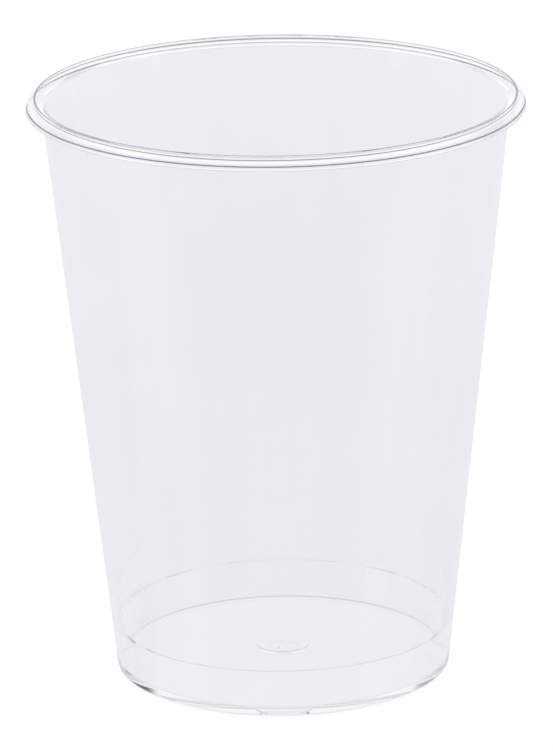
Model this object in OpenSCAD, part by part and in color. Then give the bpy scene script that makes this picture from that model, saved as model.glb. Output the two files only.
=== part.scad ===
// Clear plastic disposable cup, moulded in one piece.
// The whole cup is one section, drawn to the right of the upright axis and turned once round it.
// The foot stands on z = 0 and the mouth opens upwards.

/* [Cup] */
// Height of the cup, from the table to the crest of the rim
cup_height = 103.5; // [80:0.5:150]
// Outside diameter of the wall where it meets the table
base_diameter = 58.6; // [48:0.1:70]
// Lean of the wall from upright, in degrees
wall_taper = 6.2; // [3:0.1:9]
// Thickness of the wall and of the rolled lip
wall = 0.8; // [0.7:0.05:1.2]

/* [Rim] */
// Radius of the flare inside the mouth
flare_radius = 1.95; // [1.7:0.05:3.5]
// How far the lip reaches out past the crest of the rim
lip_reach = 1.55; // [1.5:0.05:1.9]
// Depth of the lip, from the crest to its lower edge
lip_depth = 2.4; // [2.1:0.1:4]
// Diameter of the round bead along the lip's lower edge
bead_diameter = 0.9; // [0.8:0.05:1.1]
// How far the bead stands out past the lip above it
bead_reach = 0.25; // [0.1:0.05:0.4]

/* [Stacking shoulder] */
// Height of the shoulder that the next cup of a stack stands on
shoulder_height = 8.4; // [6:0.1:12]
// Radius of the round inner edge of the shoulder
shoulder_radius = 0.2; // [0.1:0.05:0.3]
// Fillet where the wall meets the shoulder
shoulder_fillet = 0.1; // [0.05:0.05:0.2]

/* [Base] */
// Thickness of the wall below the shoulder, at the floor
base_wall = 1.05; // [0.9:0.05:1.5]
// Lean of the inside below the shoulder, in degrees
well_taper = 0.5; // [0.2:0.1:1.5]
// Thickness of the floor
floor_thickness = 1.6; // [1:0.1:2.5]
// Fillet between the floor and the wall inside
floor_fillet = 0.3; // [0.2:0.05:0.8]
// Rise of the floor and of its underside at the middle
floor_rise = 0.9; // [0.5:0.1:1.5]
// Width of the flat ring that stands on the table
foot_width = 1.0; // [0.5:0.1:1.5]
// Rounding of the outer corner of the foot
foot_radius = 0.5; // [0.3:0.05:1]

/* [Gate mark] */
// Diameter of the round boss inside, over the gate
boss_diameter = 9.4; // [7:0.1:12]
// Height of the boss above the floor
boss_height = 0.5; // [0.3:0.05:0.8]
// Rounding of the upper edge of the boss
boss_radius = 0.25; // [0.1:0.05:0.3]
// Diameter of the recess under the boss
gate_recess_diameter = 6; // [5:0.1:6.5]
// Depth of the recess under the boss
gate_recess_depth = 0.6; // [0.3:0.05:0.8]
// Diameter of the broken stub of the gate
gate_stub_diameter = 1.8; // [1.2:0.1:2.6]
// Length of the stub of the gate
gate_stub_length = 0.5; // [0.2:0.05:0.7]

/* [Hidden] */
$fn = 180;
// Steps round the whole circle of the very wide arcs of the floor
dome_steps = 720;
// Spare length that carries a cut clear of the face it opens
spare = 1;
base_r = base_diameter / 2;
// Directions in the section, in degrees
outwards = 0;
upwards = 90;
inwards = 180;
downwards = 270;
full_turn = 360;
half_turn = 180;
// Thickness of the wall measured level, in place of square to its slope
wall_level = wall / cos(wall_taper);

// Radius of the wall's outside and inside at a height
function outside_r(z) = base_r + z * tan(wall_taper);
function inside_r(z) = outside_r(z) - wall_level;

// The flare inside the mouth is a quarter circle that the wall runs into
flare_z = cup_height - flare_radius;
crest_r = inside_r(flare_z) + flare_radius / cos(wall_taper);
flare_start = [crest_r - flare_radius * cos(wall_taper), flare_z + flare_radius * sin(wall_taper)];

// The lip rolls out and down from the crest, and ends in the bead
roll_reach = lip_reach - bead_reach;
roll_z = cup_height - roll_reach;
lip_bottom = cup_height - lip_depth;
rim_r = crest_r + lip_reach;
bead_r = rim_r - bead_diameter / 2;
bead_z = lip_bottom + bead_diameter / 2;

// The groove under the lip leaves the crest as thick as the wall.
// The inside of the lip is flush with the bead.
groove_radius = flare_radius - wall;
groove_start = [crest_r - groove_radius * cos(wall_taper), flare_z + groove_radius * sin(wall_taper)];
groove_reach = lip_reach - bead_diameter;
groove_z = cup_height - wall - groove_reach;
lip_inside_r = crest_r + groove_reach;

// The floor and its underside are shallow domes with their corners at these points
foot_inner_r = base_r - foot_radius - foot_width;
well_floor_r = outside_r(floor_thickness) - base_wall;
well_top_r = well_floor_r + (shoulder_height - floor_thickness) * tan(well_taper);
dome_radius = (pow(foot_inner_r, 2) + pow(floor_rise, 2)) / (2 * floor_rise);
underside_top = floor_rise;
// Level of the floor at its middle, over the dome of the underside
floor_middle = underside_top + floor_thickness;
floor_dome_z = floor_middle - dome_radius;
floor_edge_z = floor_dome_z + sqrt(pow(dome_radius, 2) - pow(well_floor_r, 2));
shoulder_wall_r = inside_r(shoulder_height);
boss_top = floor_middle + boss_height;
recess_top = underside_top + gate_recess_depth;

// Sliver between a sharp corner and the arc that rounds it.
// The two edges leave the corner at p along the directions a and b, in degrees.
module corner_sliver(p, a, b, r) {
    turn = (b - a + full_turn + half_turn) % full_turn - half_turn;
    middle = a + turn / 2;
    half = abs(turn) / 2;
    leg = r / tan(half);
    centre = p + r / sin(half) * [cos(middle), sin(middle)];
    difference() {
        polygon([p, p + leg * [cos(a), sin(a)], p + leg * [cos(b), sin(b)]]);
        translate(centre) circle(r);
    }
}

// Everything within the outside of the wall, up to the flare
module wall_outline() {
    polygon([
        [0, 0],
        [base_r, 0],
        [outside_r(flare_start[1]), flare_start[1]],
        [0, flare_start[1]]
    ]);
}

// The flare, the rolled lip and its bead, before the groove is cut under them
module lip_outline() {
    intersection() {
        translate([crest_r, flare_z]) circle(flare_radius);
        translate([crest_r - flare_radius, flare_z]) square(flare_radius);
    }
    intersection() {
        translate([crest_r, roll_z]) circle(roll_reach);
        translate([crest_r, roll_z]) square(roll_reach);
    }
    translate([crest_r, bead_z]) square([roll_reach, roll_z - bead_z]);
    translate([bead_r, bead_z]) circle(bead_diameter / 2);
}

// Hollow under the lip, between it and the outside of the wall
module lip_groove() {
    groove_bottom = lip_bottom - spare;
    intersection() {
        translate([crest_r, flare_z]) circle(groove_radius);
        translate(groove_start) square([crest_r - groove_start[0], flare_radius]);
    }
    intersection() {
        translate([crest_r, groove_z]) circle(groove_reach);
        translate([crest_r, groove_z]) square(groove_reach);
    }
    polygon([
        [outside_r(groove_bottom), groove_bottom],
        [lip_inside_r, groove_bottom],
        [lip_inside_r, groove_z],
        [crest_r, groove_z],
        [crest_r, groove_start[1]],
        groove_start
    ]);
}

// Space for the drink above the shoulder
module upper_cavity() {
    difference() {
        polygon([
            [0, shoulder_height],
            [shoulder_wall_r, shoulder_height],
            flare_start,
            [crest_r, flare_start[1]],
            [crest_r, cup_height + spare],
            [0, cup_height + spare]
        ]);
        translate([crest_r, flare_z]) circle(flare_radius);
        corner_sliver([shoulder_wall_r, shoulder_height], upwards - wall_taper, inwards, shoulder_fillet);
    }
}

// Space for the drink below the shoulder, down to the domed floor
module well_cavity() {
    difference() {
        polygon([
            [0, floor_edge_z],
            [well_floor_r, floor_edge_z],
            [well_top_r, shoulder_height],
            [well_top_r, shoulder_height + spare],
            [0, shoulder_height + spare]
        ]);
        translate([0, floor_dome_z]) circle(dome_radius, $fn = dome_steps);
        corner_sliver([well_floor_r, floor_edge_z], upwards - well_taper, inwards, floor_fillet);
        gate_boss();
    }
    corner_sliver([well_top_r, shoulder_height], downwards - well_taper, outwards, shoulder_radius);
}

// Round boss on the middle of the floor
module gate_boss() {
    difference() {
        translate([0, floor_edge_z]) square([boss_diameter / 2, boss_top - floor_edge_z]);
        corner_sliver([boss_diameter / 2, boss_top], inwards, downwards, boss_radius);
    }
}

// Domed hollow under the floor, with the recess and the stub of the gate at its middle
module underside_hollow() {
    intersection() {
        translate([0, underside_top - dome_radius]) circle(dome_radius, $fn = dome_steps);
        square([foot_inner_r, underside_top]);
    }
    difference() {
        square([gate_recess_diameter / 2, recess_top]);
        translate([0, recess_top - gate_stub_length]) square([gate_stub_diameter / 2, gate_stub_length]);
    }
}

module cup_section() {
    difference() {
        union() {
            wall_outline();
            lip_outline();
        }
        upper_cavity();
        well_cavity();
        lip_groove();
        underside_hollow();
        corner_sliver([base_r, 0], upwards - wall_taper, inwards, foot_radius);
    }
}

module cup() {
    color([0.93, 0.93, 0.96, 0.45]) rotate_extrude() cup_section();
}

cup();
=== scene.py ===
"""Clear plastic disposable cup on a pale floor in soft studio light."""
import math

import bpy
from bpy.props import FloatProperty, FloatVectorProperty, IntProperty, PointerProperty
from mathutils import Matrix, Vector


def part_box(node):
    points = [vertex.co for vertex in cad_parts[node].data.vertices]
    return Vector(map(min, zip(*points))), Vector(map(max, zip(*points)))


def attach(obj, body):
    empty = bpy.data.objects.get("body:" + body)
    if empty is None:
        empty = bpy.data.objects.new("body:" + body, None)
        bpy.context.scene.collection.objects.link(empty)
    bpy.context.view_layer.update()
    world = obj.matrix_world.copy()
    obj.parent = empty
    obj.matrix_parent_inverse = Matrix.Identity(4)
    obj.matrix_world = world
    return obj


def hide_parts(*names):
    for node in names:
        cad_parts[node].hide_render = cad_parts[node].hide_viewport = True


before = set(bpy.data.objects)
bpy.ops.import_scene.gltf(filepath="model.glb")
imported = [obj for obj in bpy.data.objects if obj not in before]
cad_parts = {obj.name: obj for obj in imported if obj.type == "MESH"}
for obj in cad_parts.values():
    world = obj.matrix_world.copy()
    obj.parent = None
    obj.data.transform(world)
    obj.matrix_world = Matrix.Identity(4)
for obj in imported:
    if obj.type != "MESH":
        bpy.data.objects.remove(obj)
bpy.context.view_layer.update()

bl_info = {
    "name": "Clear Disposable Cup",
    "version": (1, 0, 0),
    "blender": (4, 5, 0),
    "location": "View3D > Sidebar > Cup",
    "description": "Moulds a clear plastic cup as one turned section and sets it on a pale studio floor",
    "category": "Add Mesh",
}

MM = 0.001
CUP_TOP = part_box("cup")[1]

# Directions in the section
OUTWARDS = 0.0
UPWARDS = math.pi / 2
INWARDS = math.pi
DOWNWARDS = 3 * math.pi / 2

# Fineness of the turned mesh
DOME_STEPS = 24
LONG_EDGE = 0.25 * MM
SUPPORT_GAP = 0.03 * MM
ROW_HEIGHT = 5.0 * MM
PLAIN_TURN = math.radians(0.5)
WELD_GAP = 0.001 * MM
SHARP_EDGE = math.radians(35)

# Noises as the stretch along each axis, the scale and the detail, with the range that is used of each
CLOUD = ((1.0, 1.0, 0.35), 45.0, 2.0)
CLOUD_RANGE = (0.4, 0.75)
HAZE = ((1.0, 1.0, 0.2), 140.0, 3.0)
HAZE_RANGE = (0.45, 0.8)
FLOW = ((1.0, 1.0, 0.03), 90.0, 1.0)
GRAIN = ((1.0, 1.0, 1.0), 12.0, 3.0)
GRAIN_RANGE = (0.3, 0.7)
GRAIN_DEPTH = 0.01

# Softboxes, on both sides of the camera
SOFTBOX_DISTANCE = 1.4
SOFTBOX_HEIGHT = 0.5
SOFTBOX_WIDTH = 0.5
SOFTBOX_LENGTH = 1.3
SOFTBOX_BEARING = math.radians(70)

SENSOR_WIDTH_MM = 36.0
# Light that enters the rim or the base is turned round inside the wall many times
BOUNCES = 128
# Brightness of a white matt floor in this light
FLOOR_LIGHT = 0.66

# The room's tone changes between these parts of the way from the camera's side to the back
ROOM_TURN = (-0.7, 0.7)
# The paper's tone changes from near to far between these distances from the axis
PAPER_FADE = (0.06, 0.6)
# The paper brightens at the back between these distances, where it rises to the backdrop
RISE_REACH = (0.6, 1.2)
RISE_SIDE = (0.3, 0.95)
# Painted pools of softbox light on the paper, by distance from the axis: they start clear of the foot,
# grow outwards and end. By side, -1 is towards the camera and 0 is level with the axis.
POOL_START = (0.033, 0.06)
POOL_GROWTH = (0.0, 0.6, 0.35, 1.0)
POOL_END = (0.6, 0.9, 1.0, 0.0)
POOL_FRONT = (-0.65, -0.22, 0.0, 1.0)
POOL_BACK = (-0.2, -0.05, 1.0, 0.0)
# The ring of painted shadow on the paper where the foot stands: its radius, and its width to each side
FOOT_EDGE = 29.7 * MM
FOOT_SHADE = 1.6 * MM

# Soft round cards and gaps round the cup, which draw the lines in the plastic.
# Each is its bearing from the camera's side, elevation, radius and softness, in degrees, and its brightness.
CARDS = (
    # Dark cards high behind and overhead
    (180, 52, 17, 6, 0.62),
    (0, 90, 28, 10, 0.5),
    # A black and a grey card behind, to the right and to the left
    (120, 18, 12, 5, 0.0),
    (240, 18, 11, 5, 0.4),
    # Bright gaps along the horizon behind
    (150, -2, 11, 5, 1.45),
    (210, -2, 11, 5, 1.4),
    (180, 2, 8, 4, 1.1),
)


def length(label, description, default, **limits):
    """A length in metres, for a property group."""
    return FloatProperty(
        name=label,
        description=description,
        default=default,
        precision=5,
        unit="LENGTH",
        subtype="DISTANCE",
        **limits,
    )


def angle(label, description, default):
    """An angle that is typed in degrees, for a property group."""
    return FloatProperty(
        name=label,
        description=description,
        default=math.radians(default),
        unit="ROTATION",
        subtype="ANGLE",
    )


def share(label, description, default, highest=1.0):
    """A plain factor, for a property group."""
    return FloatProperty(
        name=label,
        description=description,
        default=default,
        min=0.0,
        max=highest,
        precision=4,
    )


class CupSizes(bpy.types.PropertyGroup):
    """Sizes of the cup's section."""

    height: length("Height", "From the table to the crest of the rim", CUP_TOP.z, min=0.05)
    base_diameter: length("Base Diameter", "Outside of the wall where it meets the table", 58.6 * MM)
    wall_taper: angle("Wall Taper", "Lean of the wall from upright", 6.2)
    wall: length("Wall", "Thickness of the wall and of the rolled lip", 0.8 * MM)
    flare_radius: length("Flare Radius", "Radius of the flare inside the mouth", 1.95 * MM)
    lip_reach: length("Lip Reach", "How far the lip reaches out past the crest", 1.55 * MM)
    lip_depth: length("Lip Depth", "From the crest to the lower edge of the lip", 2.4 * MM)
    bead_diameter: length("Bead Diameter", "Round bead along the lower edge of the lip", 0.9 * MM)
    bead_reach: length("Bead Reach", "How far the bead stands out past the lip above it", 0.25 * MM)
    shoulder_height: length("Shoulder Height", "Height of the stacking shoulder", 8.4 * MM)
    shoulder_radius: length("Shoulder Edge", "Rounding of the shoulder's inner edge", 0.2 * MM)
    shoulder_fillet: length("Shoulder Fillet", "Fillet where the wall meets the shoulder", 0.1 * MM)
    base_wall: length("Base Wall", "Thickness of the wall at the floor", 1.05 * MM)
    well_taper: angle("Well Taper", "Lean of the inside below the shoulder", 0.5)
    floor_thickness: length("Floor", "Thickness of the floor", 1.6 * MM)
    floor_fillet: length("Floor Fillet", "Fillet between the floor and the wall", 0.3 * MM)
    floor_rise: length("Floor Rise", "Rise of the floor at its middle", 0.9 * MM)
    foot_width: length("Foot Width", "Width of the flat ring on the table", 1.0 * MM)
    foot_radius: length("Foot Radius", "Rounding of the foot's outer corner", 0.5 * MM)
    boss_diameter: length("Boss Diameter", "Round boss inside, over the gate", 9.4 * MM)
    boss_height: length("Boss Height", "Height of the boss above the floor", 0.5 * MM)
    boss_radius: length("Boss Edge", "Rounding of the upper edge of the boss", 0.25 * MM)
    recess_diameter: length("Recess Diameter", "Recess under the boss", 6.0 * MM)
    recess_depth: length("Recess Depth", "Depth of the recess under the boss", 0.6 * MM)
    stub_diameter: length("Stub Diameter", "Broken stub of the gate", 1.8 * MM)
    stub_length: length("Stub Length", "Length of the stub of the gate", 0.5 * MM)
    arc_step: angle("Arc Step", "Turn from one point of an arc to the next", 5.0)
    segments: IntProperty(
        name="Segments",
        description="Steps of the spin round the axis",
        default=320,
        min=64,
        max=512,
    )


class CupPlastic(bpy.types.PropertyGroup):
    """Finish of the clear plastic."""

    tint: FloatVectorProperty(
        name="Tint",
        description="Share of the light that one wall lets through",
        default=(0.996, 0.994, 1.0),
        subtype="COLOR",
        min=0.0,
        max=1.0,
    )
    clouded_tint: FloatVectorProperty(
        name="Clouded Tint",
        description="The same where the plastic is a little cloudy",
        default=(0.988, 0.987, 1.0),
        subtype="COLOR",
        min=0.0,
        max=1.0,
    )
    refraction: share("Refraction", "Index of refraction of the plastic", 1.59, 2.5)
    gloss_low: share("Clear Roughness", "Roughness of the cleanest places", 0.0)
    gloss_high: share("Worn Roughness", "Roughness of the dullest places", 0.02)
    flow_depth: length("Flow Marks", "Depth of the long marks left by moulding", 0.006 * MM)
    # Painted shade: a dark tint painted along the rim's crest and in the crease over the bead, standing in
    # for the dark edges that the rim's curves draw in clear plastic
    painted_line_tint: FloatVectorProperty(
        name="Painted Line Tint",
        description="Share of the light that comes through the painted dark lines of shade round the rim",
        default=(0.08, 0.08, 0.12),
        subtype="COLOR",
        min=0.0,
        max=1.0,
    )
    # Half widths of the painted shade lines along the crest and over the bead
    crest_line: length("Crest Line", "Half the width of the hairline along the crest", 0.22 * MM)
    crease_line: length("Crease Line", "Half the width of the hairline over the bead", 0.13 * MM)
    shade: share("Shade", "Share of the lamps' light that one surface lets through to the floor", 0.9)


class CupStudio(bpy.types.PropertyGroup):
    """Floor, light and camera."""

    floor_size: length("Floor Size", "Side of the square floor", 40.0)
    floor_gap: length("Floor Gap", "Air between the foot and the floor", 0.02 * MM)
    white: share("White", "Strength of the background as the camera sees it", 1.0)
    shadow: share("Shadow", "Share of the floor's white that comes from the lamps", 0.25)
    paper: FloatVectorProperty(
        name="Paper",
        description="Colour of the floor as the plastic shows it",
        default=(0.856, 0.848, 0.887),
        subtype="COLOR",
        min=0.0,
        max=1.0,
    )
    paper_near: share("Paper Near", "Brightness of the paper round the cup", 0.98, 2.0)
    paper_front: share("Paper Front", "Brightness of the paper far in front of the cup", 0.83, 2.0)
    paper_back: share("Paper Back", "Brightness of the paper behind the cup", 1.035, 2.0)
    paper_rise: share("Paper Rise", "Brightness of the paper where it meets the backdrop", 1.2, 2.0)
    # Painted light: pools of softbox light painted into the paper's tone as the plastic shows it, not lit by
    # the lamps
    painted_pool_light: share("Painted Pool", "How much the softboxes brighten the paper on both sides", 0.26)
    # Painted shadow: a dim ring painted round the foot in the paper's tone as the plastic shows it
    painted_foot_shadow: share("Painted Foot Shadow", "How much the paper darkens round the foot", 0.3)
    room_front: share("Room Front", "Brightness of the room behind the camera, in the plastic", 0.86, 2.0)
    room_back: share("Room Back", "Brightness of the backdrop, in the plastic", 0.94, 2.0)
    contrast: share("Contrast", "How much the cards and the bright gaps show in the plastic", 1.0)
    softbox_power: FloatProperty(
        name="Softbox Power",
        description="Power of each of the two softboxes",
        default=0.6,
        min=0.0,
        unit="POWER",
    )
    camera_distance: length("Camera Distance", "Level distance from the cup's axis", 912.64 * MM)
    camera_height: length("Camera Height", "Height above the table", 339.84 * MM)
    camera_pan: angle("Camera Pan", "Turn of the view to the right", -0.034)
    camera_tilt: angle("Camera Tilt", "Tilt of the view below level", 17.481)
    camera_roll: angle("Camera Roll", "Roll of the camera about its view", -0.814)
    focal_length: length("Focal Length", "Focal length of the lens, on a sensor 36 mm wide", 356.33 * MM)


def turn_between(first, second):
    """The smaller turn from one direction to another, with its sign."""
    return (second - first + math.pi) % (2 * math.pi) - math.pi


def direction(heading):
    """The unit vector of a direction in the section."""
    return Vector((math.cos(heading), math.sin(heading)))


def heading_of(vector):
    """The direction of a vector in the section."""
    return math.atan2(vector.y, vector.x)


def arc(centre, radius, start, end, step):
    """Points along an arc of the section, from one direction to another."""
    count = max(2, math.ceil(abs(end - start) / step))
    turns = [start + (end - start) * i / count for i in range(count + 1)]
    return [centre + radius * direction(turn) for turn in turns]


def rounded(corner, first, second, radius, step):
    """Points that round a corner whose edges leave it along two directions."""
    turn = turn_between(first, second)
    half = abs(turn) / 2
    centre = corner + radius / math.sin(half) * direction(first + turn / 2)
    leg = radius / math.tan(half)
    start = heading_of(corner + leg * direction(first) - centre)
    end = heading_of(corner + leg * direction(second) - centre)
    return arc(centre, radius, start, start + turn_between(start, end), step)


def outside_r(sizes, z):
    """Radius of the wall's outside at a height."""
    return sizes.base_diameter / 2 + z * math.tan(sizes.wall_taper)


def inside_r(sizes, z):
    """Radius of the wall's inside at a height."""
    return outside_r(sizes, z) - sizes.wall / math.cos(sizes.wall_taper)


def crest_centre(sizes):
    """Centre of the flare, right below the crest of the rim."""
    flare_z = sizes.height - sizes.flare_radius
    crest_r = inside_r(sizes, flare_z) + sizes.flare_radius / math.cos(sizes.wall_taper)
    return Vector((crest_r, flare_z))


def bead_centre(sizes):
    """Centre of the bead along the lower edge of the lip."""
    radius = sizes.bead_diameter / 2
    bead_r = crest_centre(sizes).x + sizes.lip_reach - radius
    return Vector((bead_r, sizes.height - sizes.lip_depth + radius))


def bead_crease(sizes):
    """The crease outside, where the lip meets its bead."""
    radius = sizes.bead_diameter / 2
    aside = radius - sizes.bead_reach
    return bead_centre(sizes) + Vector((aside, math.sqrt(radius**2 - aside**2)))


def foot_inner_r(sizes):
    """Radius of the inner edge of the flat foot."""
    return sizes.base_diameter / 2 - sizes.foot_radius - sizes.foot_width


def dome_radius(sizes):
    """Radius of the sphere that the domed floor is part of."""
    return (foot_inner_r(sizes) ** 2 + sizes.floor_rise**2) / (2 * sizes.floor_rise)


def under_z(sizes, radius):
    """Height of the underside at a distance from the axis."""
    ball = dome_radius(sizes)
    return sizes.floor_rise - ball + math.sqrt(ball**2 - radius**2)


def floor_z(sizes, radius):
    """Height of the floor at a distance from the axis."""
    return under_z(sizes, radius) + sizes.floor_thickness


def dome(sizes, height_at, start, end):
    """Points along a dome of the section, from one radius to another."""
    radii = [start + (end - start) * i / DOME_STEPS for i in range(DOME_STEPS + 1)]
    return [Vector((radius, height_at(sizes, radius))) for radius in radii]


def underside(sizes):
    """From the axis over the stub, the recess and the dome to the outer corner of the foot."""
    recess_top = sizes.floor_rise + sizes.recess_depth
    recess_r = sizes.recess_diameter / 2
    points = [
        Vector((0, recess_top - sizes.stub_length)),
        Vector((sizes.stub_diameter / 2, recess_top - sizes.stub_length)),
        Vector((sizes.stub_diameter / 2, recess_top)),
        Vector((recess_r, recess_top)),
    ]
    points += dome(sizes, under_z, recess_r, foot_inner_r(sizes))
    foot_corner = Vector((sizes.base_diameter / 2, 0))
    wall_up = UPWARDS - sizes.wall_taper
    return points + rounded(foot_corner, INWARDS, wall_up, sizes.foot_radius, sizes.arc_step)


def lip(sizes):
    """From the top of the wall's outside through the groove, round the bead and over the crest."""
    step = sizes.arc_step
    flare_end = INWARDS - sizes.wall_taper
    flare_centre = crest_centre(sizes)
    roll_reach = sizes.lip_reach - sizes.bead_reach
    roll_centre = Vector((flare_centre.x, sizes.height - roll_reach))
    groove_reach = sizes.lip_reach - sizes.bead_diameter
    groove_centre = Vector((flare_centre.x, sizes.height - sizes.wall - groove_reach))
    bead_radius = sizes.bead_diameter / 2
    bead_top = math.acos((bead_radius - sizes.bead_reach) / bead_radius)
    points = arc(flare_centre, sizes.flare_radius - sizes.wall, flare_end, UPWARDS, step)
    points += arc(groove_centre, groove_reach, UPWARDS, OUTWARDS, step)
    points += arc(bead_centre(sizes), bead_radius, INWARDS, 2 * math.pi + bead_top, 2 * step)
    points += arc(roll_centre, roll_reach, OUTWARDS, UPWARDS, step)
    return points + arc(flare_centre, sizes.flare_radius, UPWARDS, flare_end, step)[1:]


def well(sizes):
    """From the shoulder inside, down the well and over the floor to its edge against the wall."""
    step = 2 * sizes.arc_step
    floor_r = outside_r(sizes, sizes.floor_thickness) - sizes.base_wall
    depth = sizes.shoulder_height - sizes.floor_thickness
    wall_corner = Vector((inside_r(sizes, sizes.shoulder_height), sizes.shoulder_height))
    edge = Vector((floor_r + depth * math.tan(sizes.well_taper), sizes.shoulder_height))
    floor_corner = Vector((floor_r, floor_z(sizes, floor_r)))
    # The fillet ends a hair below the dome, which leaves a faint dip along the floor's edge
    floor_in = INWARDS + math.asin(floor_r / dome_radius(sizes))
    wall_up = UPWARDS - sizes.wall_taper
    well_up = UPWARDS - sizes.well_taper
    well_down = DOWNWARDS - sizes.well_taper
    points = rounded(wall_corner, wall_up, INWARDS, sizes.shoulder_fillet, step)
    points += rounded(edge, OUTWARDS, well_down, sizes.shoulder_radius, step)
    return points + rounded(floor_corner, well_up, floor_in, sizes.floor_fillet, step)


def cup_section(sizes):
    """The cup's section: from the middle of its underside up the outside, and down the inside."""
    points = underside(sizes) + lip(sizes) + well(sizes)
    boss_r = sizes.boss_diameter / 2
    boss_top = floor_z(sizes, 0) + sizes.boss_height
    points += dome(sizes, floor_z, points[-1].x, boss_r)[1:]
    points += rounded(Vector((boss_r, boss_top)), DOWNWARDS, INWARDS, sizes.boss_radius, 3 * sizes.arc_step)
    return points + [Vector((0, boss_top))]


def supported(points):
    """The same points, with more on long edges: one close to each bend, and rows along the walls.

    Smooth shading then keeps the long faces plain, and they don't act as lenses."""
    result = [points[0]]
    last = len(points) - 2
    headings = [heading_of(b - a) for a, b in zip(points, points[1:])]
    for i, (start, end) in enumerate(zip(points, points[1:])):
        edge = end - start
        if edge.length > LONG_EDGE:
            gap = edge.normalized() * SUPPORT_GAP
            if i > 0 and abs(turn_between(headings[i - 1], headings[i])) > PLAIN_TURN:
                result.append(start + gap)
            rows = math.ceil(edge.length / ROW_HEIGHT)
            result += [start + edge * row / rows for row in range(1, rows)]
            if i < last and abs(turn_between(headings[i], headings[i + 1])) > PLAIN_TURN:
                result.append(end - gap)
        result.append(end)
    return result


def in_space(point):
    """A point of the section, in the upright plane through the axis."""
    return Vector((point.x, 0, point.y))


def spin_section(name, points, segments):
    """Merge a small plane into the first point, extrude it along the section and spin that line."""
    bpy.ops.object.select_all(action="DESELECT")
    bpy.ops.mesh.primitive_plane_add(size=LONG_EDGE, location=in_space(points[0]))
    piece = bpy.context.object
    piece.name = name
    piece.data.name = name
    bpy.ops.object.transform_apply(location=True)
    bpy.ops.object.mode_set(mode="EDIT")
    bpy.ops.mesh.select_all(action="SELECT")
    bpy.ops.mesh.merge(type="CENTER")
    for start, end in zip(points, points[1:]):
        step = in_space(end) - in_space(start)
        bpy.ops.mesh.extrude_vertices_move(TRANSFORM_OT_translate={"value": step})
    bpy.ops.mesh.select_all(action="SELECT")
    bpy.ops.mesh.spin(steps=segments, angle=2 * math.pi, center=(0, 0, 0), axis=(0, 0, 1))
    bpy.ops.mesh.select_all(action="SELECT")
    bpy.ops.mesh.remove_doubles(threshold=WELD_GAP)
    bpy.ops.mesh.normals_make_consistent(inside=False)
    bpy.ops.object.mode_set(mode="OBJECT")
    bpy.ops.object.shade_smooth_by_angle(angle=SHARP_EDGE)
    return piece


def add_node(tree, kind, **settings):
    """Add a shader node, with its settings and the values of its unlinked inputs."""
    node = tree.nodes.new(kind)
    for key, value in settings.items():
        if key in node.inputs:
            node.inputs[key].default_value = value
        else:
            setattr(node, key, value)
    return node


def math_node(tree, operation, *values):
    """Add a maths node whose inputs are numbers or other nodes' outputs, and give its output."""
    node = tree.nodes.new("ShaderNodeMath")
    node.operation = operation
    for socket, value in zip(node.inputs, values):
        if isinstance(value, (int, float)):
            socket.default_value = value
        else:
            tree.links.new(value, socket)
    return node.outputs["Value"]


def own_axes(tree):
    """A node that separates the coordinates of the piece itself."""
    place = add_node(tree, "ShaderNodeTexCoord")
    axes = add_node(tree, "ShaderNodeSeparateXYZ")
    tree.links.new(place.outputs["Object"], axes.inputs["Vector"])
    return axes


def stretched_noise(tree, stretch, scale, detail):
    """Noise over the piece's own coordinates, drawn out by a stretch along each axis."""
    place = add_node(tree, "ShaderNodeTexCoord")
    mapping = add_node(tree, "ShaderNodeMapping", Scale=stretch)
    noise = add_node(tree, "ShaderNodeTexNoise", Scale=scale, Detail=detail, Roughness=0.5)
    tree.links.new(place.outputs["Object"], mapping.inputs["Vector"])
    tree.links.new(mapping.outputs["Vector"], noise.inputs["Vector"])
    return noise.outputs["Fac"]


def spread(tree, source, low, high, to_low, to_high):
    """Map a range of a value onto another range."""
    node = add_node(tree, "ShaderNodeMapRange", interpolation_type="SMOOTHSTEP")
    for name, value in (("From Min", low), ("From Max", high), ("To Min", to_low), ("To Max", to_high)):
        node.inputs[name].default_value = value
    tree.links.new(source, node.inputs["Value"])
    return node.outputs["Result"]


def hairline(tree, across, beside, width, least):
    """Mask of a hairline: where the distance across it is small, and a value beside it past its least."""
    near = spread(tree, math_node(tree, "ABSOLUTE", across), width / 2, width, 1.0, 0.0)
    return math_node(tree, "MULTIPLY", near, math_node(tree, "GREATER_THAN", beside, least))


def distance_from_axis(tree, axes):
    """Level distance from the upright axis, from a node that separates the coordinates."""
    squares = [math_node(tree, "MULTIPLY", axes.outputs[axis], axes.outputs[axis]) for axis in "XY"]
    return math_node(tree, "SQRT", math_node(tree, "ADD", *squares))


def painted_rim_lines(tree, finish, sizes):
    """Mask of the two painted dark lines of shade round the rim: along its crest, and in the crease over the
    bead.
    """
    axes = own_axes(tree)
    radius = distance_from_axis(tree, axes)
    height = axes.outputs["Z"]
    crease = bead_crease(sizes)
    off_crest = math_node(tree, "SUBTRACT", radius, crest_centre(sizes).x)
    off_crease = math_node(tree, "SUBTRACT", height, crease.y)
    on_top = hairline(tree, off_crest, height, finish.crest_line, sizes.height - sizes.wall / 2)
    outside = hairline(tree, off_crease, radius, finish.crease_line, crease.x - sizes.bead_reach)
    return math_node(tree, "MAXIMUM", on_top, outside)


def blended(tree, part, first, second):
    """Blend two colours, each a fixed colour or another node's output, by the part of the second."""
    mix = add_node(tree, "ShaderNodeMix", data_type="RGBA")
    tree.links.new(part, socket_named(mix.inputs, "Factor_Float"))
    for name, colour in (("A_Color", first), ("B_Color", second)):
        socket = socket_named(mix.inputs, name)
        if isinstance(colour, bpy.types.NodeSocket):
            tree.links.new(colour, socket)
        else:
            socket.default_value = (*colour, 1.0)
    return socket_named(mix.outputs, "Result_Color")


def socket_named(sockets, identifier):
    """The socket with an identifier, where several share one name."""
    return next(socket for socket in sockets if socket.identifier == identifier)


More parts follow.
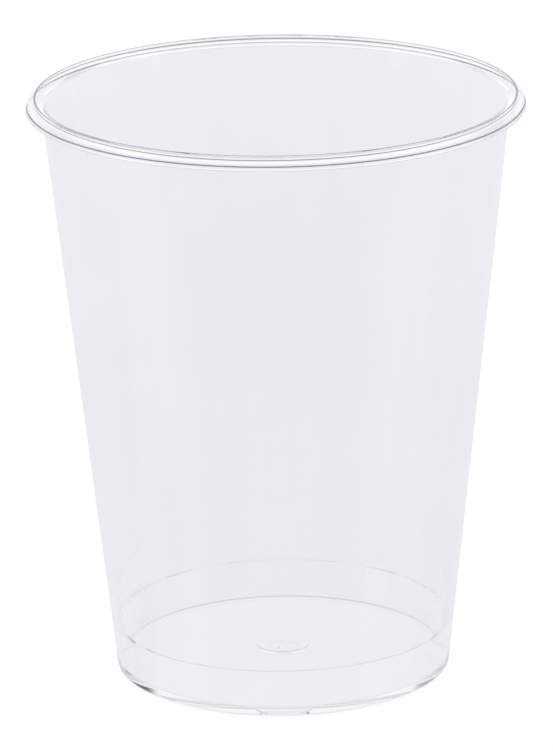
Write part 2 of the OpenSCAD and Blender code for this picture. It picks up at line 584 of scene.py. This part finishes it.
def clear_plastic(finish, sizes):
    """Clear glossy plastic with a faint cloud, thin haze, long shallow flow marks, and painted shade in dark
    lines along the rim's crest and over its bead.
    """
    material = bpy.data.materials.new("clear_plastic")
    material.use_nodes = True
    tree = material.node_tree
    tree.nodes.clear()
    plastic = add_node(tree, "ShaderNodeBsdfPrincipled")
    plastic.inputs["Transmission Weight"].default_value = 1.0
    plastic.inputs["IOR"].default_value = finish.refraction

    cloud = spread(tree, stretched_noise(tree, *CLOUD), *CLOUD_RANGE, 0.0, 1.0)
    tint = blended(tree, cloud, finish.tint, finish.clouded_tint)
    # Painted shade: the dark tint along the rim's crest and in the crease over the bead
    tint = blended(tree, painted_rim_lines(tree, finish, sizes), tint, finish.painted_line_tint)
    tree.links.new(tint, plastic.inputs["Base Color"])

    haze = spread(tree, stretched_noise(tree, *HAZE), *HAZE_RANGE, finish.gloss_low, finish.gloss_high)
    tree.links.new(haze, plastic.inputs["Roughness"])

    bump = add_node(tree, "ShaderNodeBump", Strength=1.0, Distance=finish.flow_depth)
    tree.links.new(stretched_noise(tree, *FLOW), bump.inputs["Height"])
    tree.links.new(bump.outputs["Normal"], plastic.inputs["Normal"])

    let_lamps_through(tree, plastic, finish.shade)
    return material


def let_lamps_through(tree, plastic, shade):
    """Let the lamps' light straight through to the floor, where the shadow would be black."""
    lamps = add_node(tree, "ShaderNodeBsdfTransparent")
    lamps.inputs["Color"].default_value = (shade, shade, shade, 1.0)
    path = add_node(tree, "ShaderNodeLightPath")
    mixed = add_node(tree, "ShaderNodeMixShader")
    output = add_node(tree, "ShaderNodeOutputMaterial")
    tree.links.new(path.outputs["Is Shadow Ray"], mixed.inputs["Fac"])
    tree.links.new(plastic.outputs["BSDF"], mixed.inputs[1])
    tree.links.new(lamps.outputs["BSDF"], mixed.inputs[2])
    tree.links.new(mixed.outputs["Shader"], output.inputs["Surface"])


def seen_by_camera(tree, shown, taken, output_kind):
    """Join what the camera sees with what reaches it by way of the plastic."""
    path = add_node(tree, "ShaderNodeLightPath")
    mixed = add_node(tree, "ShaderNodeMixShader")
    output = add_node(tree, output_kind)
    tree.links.new(path.outputs["Is Camera Ray"], mixed.inputs["Fac"])
    tree.links.new(taken, mixed.inputs[1])
    tree.links.new(shown, mixed.inputs[2])
    tree.links.new(mixed.outputs["Shader"], output.inputs["Surface"])


def towards_level(tree, value, level, part):
    """Bring a value towards a level by a part of the way."""
    change = math_node(tree, "SUBTRACT", level, value)
    return math_node(tree, "ADD", value, math_node(tree, "MULTIPLY", part, change))


def hang_card(tree, studio, strength, bearing, elevation, radius, soft, level):
    """Blend one round card into the room's brightness, and give the new brightness."""
    turn, lift = math.radians(bearing), math.radians(elevation)
    card = (math.sin(turn) * math.cos(lift), -math.cos(turn) * math.cos(lift), math.sin(lift))
    place = add_node(tree, "ShaderNodeTexCoord")
    facing = add_node(tree, "ShaderNodeVectorMath", operation="DOT_PRODUCT")
    facing.inputs[1].default_value = card
    tree.links.new(place.outputs["Generated"], facing.inputs[0])
    edge = math.cos(math.radians(radius + soft))
    middle = math.cos(math.radians(radius - soft))
    cover = spread(tree, facing.outputs["Value"], edge, middle, 0.0, studio.contrast)
    return towards_level(tree, strength, level, cover)


def studio_world(studio):
    """White as the background, and the light of a pale studio for all that the plastic shows."""
    world = bpy.data.worlds.new("studio")
    world.use_nodes = True
    tree = world.node_tree
    tree.nodes.clear()
    place = add_node(tree, "ShaderNodeTexCoord")
    axes = add_node(tree, "ShaderNodeSeparateXYZ")
    tree.links.new(place.outputs["Generated"], axes.inputs["Vector"])
    strength = spread(tree, axes.outputs["Y"], *ROOM_TURN, studio.room_front, studio.room_back)
    for bearing, elevation, radius, soft, level in CARDS:
        strength = hang_card(tree, studio, strength, bearing, elevation, radius, soft, level)
    taken = add_node(tree, "ShaderNodeBackground")
    tree.links.new(strength, taken.inputs["Strength"])
    shown = add_node(tree, "ShaderNodeBackground", Strength=studio.white)
    for node in (taken, shown):
        node.inputs["Color"].default_value = (1.0, 1.0, 1.0, 1.0)
    seen_by_camera(tree, shown.outputs["Background"], taken.outputs["Background"], "ShaderNodeOutputWorld")
    return world


def paint_softbox_pools(tree, studio, strength, reach, side):
    """Paint pools of softbox light on the paper on both sides, where the softboxes stand."""
    painted_light = spread(tree, reach, *POOL_START, 0.0, studio.painted_pool_light)
    for value, limits in ((reach, POOL_GROWTH), (reach, POOL_END), (side, POOL_FRONT), (side, POOL_BACK)):
        painted_light = math_node(tree, "MULTIPLY", painted_light, spread(tree, value, *limits))
    return math_node(tree, "ADD", strength, painted_light)


def paint_foot_shadow(tree, studio, strength, reach):
    """Paint a soft shadow ring on the paper where the foot stands, and make it a little uneven all over."""
    off_foot = math_node(tree, "ABSOLUTE", math_node(tree, "SUBTRACT", reach, FOOT_EDGE))
    painted_shadow_ring = spread(tree, off_foot, 0.0, FOOT_SHADE, 1.0 - studio.painted_foot_shadow, 1.0)
    grain = stretched_noise(tree, *GRAIN)
    uneven = spread(tree, grain, *GRAIN_RANGE, 1.0 - GRAIN_DEPTH, 1.0 + GRAIN_DEPTH)
    return math_node(tree, "MULTIPLY", strength, math_node(tree, "MULTIPLY", painted_shadow_ring, uneven))


def paper_strength(tree, studio):
    """Brightness of the paper: darker towards the camera, brighter where it rises, with painted pools of
    softbox light and a painted shadow that dims it round the foot.
    """
    axes = own_axes(tree)
    reach = distance_from_axis(tree, axes)
    side = math_node(tree, "DIVIDE", axes.outputs["Y"], math_node(tree, "MAXIMUM", reach, FOOT_SHADE))
    far = spread(tree, side, -1.0, 1.0, studio.paper_front, studio.paper_back)
    away = spread(tree, reach, *PAPER_FADE, 0.0, 1.0)
    change = math_node(tree, "MULTIPLY", away, math_node(tree, "SUBTRACT", far, studio.paper_near))
    strength = math_node(tree, "ADD", change, studio.paper_near)
    rise = spread(tree, reach, *RISE_REACH, 0.0, 1.0)
    rise = math_node(tree, "MULTIPLY", rise, spread(tree, side, *RISE_SIDE, 0.0, 1.0))
    strength = towards_level(tree, strength, studio.paper_rise, rise)
    strength = paint_softbox_pools(tree, studio, strength, reach, side)
    return paint_foot_shadow(tree, studio, strength, reach)


def floor_paint(studio):
    """Pale paper: white to the camera with a soft shadow, and through the plastic a tone that holds painted
    pools of softbox light and a painted shadow round the foot.
    """
    material = bpy.data.materials.new("pale_floor")
    material.use_nodes = True
    tree = material.node_tree
    tree.nodes.clear()
    glow = add_node(tree, "ShaderNodeEmission", Strength=studio.white - FLOOR_LIGHT * studio.shadow)
    paint = add_node(tree, "ShaderNodeBsdfDiffuse")
    paint.inputs["Color"].default_value = (studio.shadow, studio.shadow, studio.shadow, 1.0)
    shown = add_node(tree, "ShaderNodeAddShader")
    tree.links.new(glow.outputs["Emission"], shown.inputs[0])
    tree.links.new(paint.outputs["BSDF"], shown.inputs[1])

    # Through the plastic the paper is an emission whose strength holds painted light and painted shadow
    paper = add_node(tree, "ShaderNodeEmission")
    paper.inputs["Color"].default_value = (*studio.paper, 1.0)
    tree.links.new(paper_strength(tree, studio), paper.inputs["Strength"])
    seen_by_camera(tree, shown.outputs["Shader"], paper.outputs["Emission"], "ShaderNodeOutputMaterial")
    return material


def add_floor(studio):
    """A wide level floor, just under the foot."""
    bpy.ops.object.select_all(action="DESELECT")
    bpy.ops.mesh.primitive_plane_add(size=studio.floor_size, location=(0, 0, -studio.floor_gap))
    floor = bpy.context.object
    floor.name = "floor"
    bpy.ops.object.transform_apply(location=True)
    floor.data.materials.append(floor_paint(studio))


def add_softbox(name, studio, bearing):
    """A tall soft lamp that stands round the cup at a bearing from the camera's side and faces it."""
    place = SOFTBOX_DISTANCE * Vector((math.sin(bearing), -math.cos(bearing), 0))
    place.z = SOFTBOX_HEIGHT
    bpy.ops.object.light_add(type="AREA", location=place)
    lamp = bpy.context.object
    lamp.name = name
    lamp.data.shape = "RECTANGLE"
    lamp.data.size = SOFTBOX_WIDTH
    lamp.data.size_y = SOFTBOX_LENGTH
    lamp.data.energy = studio.softbox_power
    aim = Vector((0, 0, CUP_TOP.z / 2)) - place
    lamp.rotation_euler = aim.to_track_quat("-Z", "Y").to_euler()


def add_camera(studio):
    """The camera at the photo's viewing angle, with its roll."""
    pan, tilt, roll = studio.camera_pan, studio.camera_tilt, studio.camera_roll
    ahead = Vector((math.sin(pan) * math.cos(tilt), math.cos(pan) * math.cos(tilt), -math.sin(tilt)))
    level = Vector((math.cos(pan), -math.sin(pan), 0))
    top = level.cross(ahead)
    side = math.cos(roll) * level + math.sin(roll) * top
    top = side.cross(ahead)
    place = Vector((0, -studio.camera_distance, studio.camera_height))
    lens = bpy.data.cameras.new("camera")
    lens.sensor_fit = "HORIZONTAL"
    lens.sensor_width = SENSOR_WIDTH_MM
    lens.lens = studio.focal_length / MM
    lens.clip_end = studio.floor_size
    camera = bpy.data.objects.new("camera", lens)
    bpy.context.scene.collection.objects.link(camera)
    turn = Matrix((side, top, -ahead)).transposed().to_4x4()
    camera.matrix_world = Matrix.Translation(place) @ turn
    bpy.context.scene.camera = camera


class CUP_OT_mould(bpy.types.Operator):
    """Mould the cup as one section, spun round its axis."""

    bl_idname = "clear_cup.mould"
    bl_label = "Mould Cup"

    def execute(self, context):
        scene = context.scene
        points = supported(cup_section(scene.cup_sizes))
        cup = spin_section("moulded_cup", points, scene.cup_sizes.segments)
        cup.data.materials.append(clear_plastic(scene.cup_plastic, scene.cup_sizes))
        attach(cup, "root")
        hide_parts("cup")
        return {"FINISHED"}


class CUP_OT_stage(bpy.types.Operator):
    """Set the floor, the light and the camera."""

    bl_idname = "clear_cup.stage"
    bl_label = "Set Stage"

    def execute(self, context):
        scene = context.scene
        studio = scene.cup_studio
        add_floor(studio)
        add_softbox("softbox_left", studio, -SOFTBOX_BEARING)
        add_softbox("softbox_right", studio, SOFTBOX_BEARING)
        add_camera(studio)
        scene.world = studio_world(studio)
        scene.view_settings.view_transform = "Standard"
        scene.cycles.max_bounces = BOUNCES
        scene.cycles.transmission_bounces = BOUNCES
        scene.cycles.glossy_bounces = BOUNCES
        return {"FINISHED"}


class CUP_PT_sidebar(bpy.types.Panel):
    """The cup's operators, sizes and finish."""

    bl_label = "Clear Disposable Cup"
    bl_space_type = "VIEW_3D"
    bl_region_type = "UI"
    bl_category = "Cup"

    def draw(self, context):
        layout = self.layout
        layout.operator(CUP_OT_mould.bl_idname)
        layout.operator(CUP_OT_stage.bl_idname)
        for title, name in SETTINGS.items():
            box = layout.box()
            box.label(text=title)
            group = getattr(context.scene, name)
            for key in group.__annotations__:
                box.prop(group, key)


SETTINGS = {"Sizes": "cup_sizes", "Plastic": "cup_plastic", "Studio": "cup_studio"}
GROUPS = {"cup_sizes": CupSizes, "cup_plastic": CupPlastic, "cup_studio": CupStudio}
CLASSES = (CupSizes, CupPlastic, CupStudio, CUP_OT_mould, CUP_OT_stage, CUP_PT_sidebar)


def register():
    """Register the classes and hang their settings on the scene."""
    for item in CLASSES:
        bpy.utils.register_class(item)
    for name, group in GROUPS.items():
        setattr(bpy.types.Scene, name, PointerProperty(type=group))


def unregister():
    """Take the settings and the classes away again."""
    for name in GROUPS:
        delattr(bpy.types.Scene, name)
    for item in reversed(CLASSES):
        bpy.utils.unregister_class(item)


def main():
    """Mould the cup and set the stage."""
    register()
    bpy.ops.clear_cup.mould()
    bpy.ops.clear_cup.stage()


if __name__ == "__main__":
    main()
